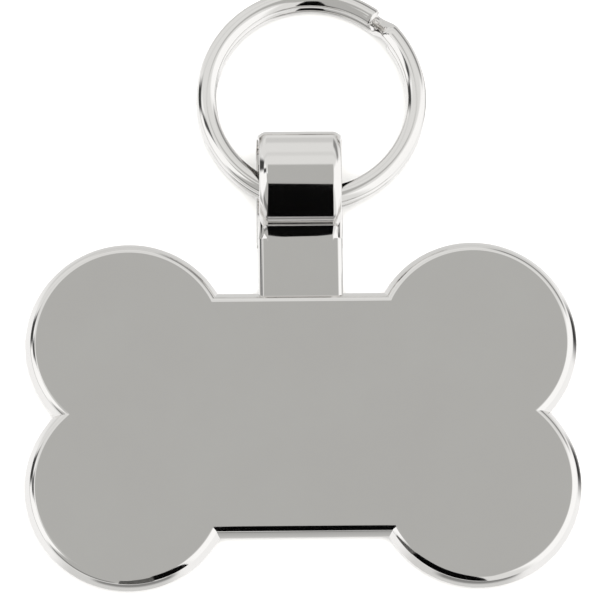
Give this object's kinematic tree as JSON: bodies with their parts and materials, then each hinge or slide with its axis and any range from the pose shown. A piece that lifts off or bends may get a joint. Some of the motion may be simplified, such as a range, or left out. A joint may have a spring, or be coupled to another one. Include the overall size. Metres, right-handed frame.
{
  "type": "bone-shaped identification tag on a split ring",
  "caption": "Flat bone-shaped metal identification tag with a folded strap loop, lying on its back with a split ring threaded through the loop.",
  "frame": {"origin": "middle of the bone plate's flat back face, on the surface that the tag lies on", "axes": "+Z out of the front face, +Y up the neck towards the loop and the ring, +X along the bone to the right as seen from the front"},
  "size_m": [0.05, 0.0557, 0.0052],
  "materials": {
    "polished_nickel": "mirror-polished nickel plate over a zinc alloy casting",
    "plated_wire": "nickel-plated spring steel wire"
  },
  "bodies": {
    "root": {"bone_tag": "polished_nickel", "split_ring": "plated_wire"}
  },
  "joints": []
}
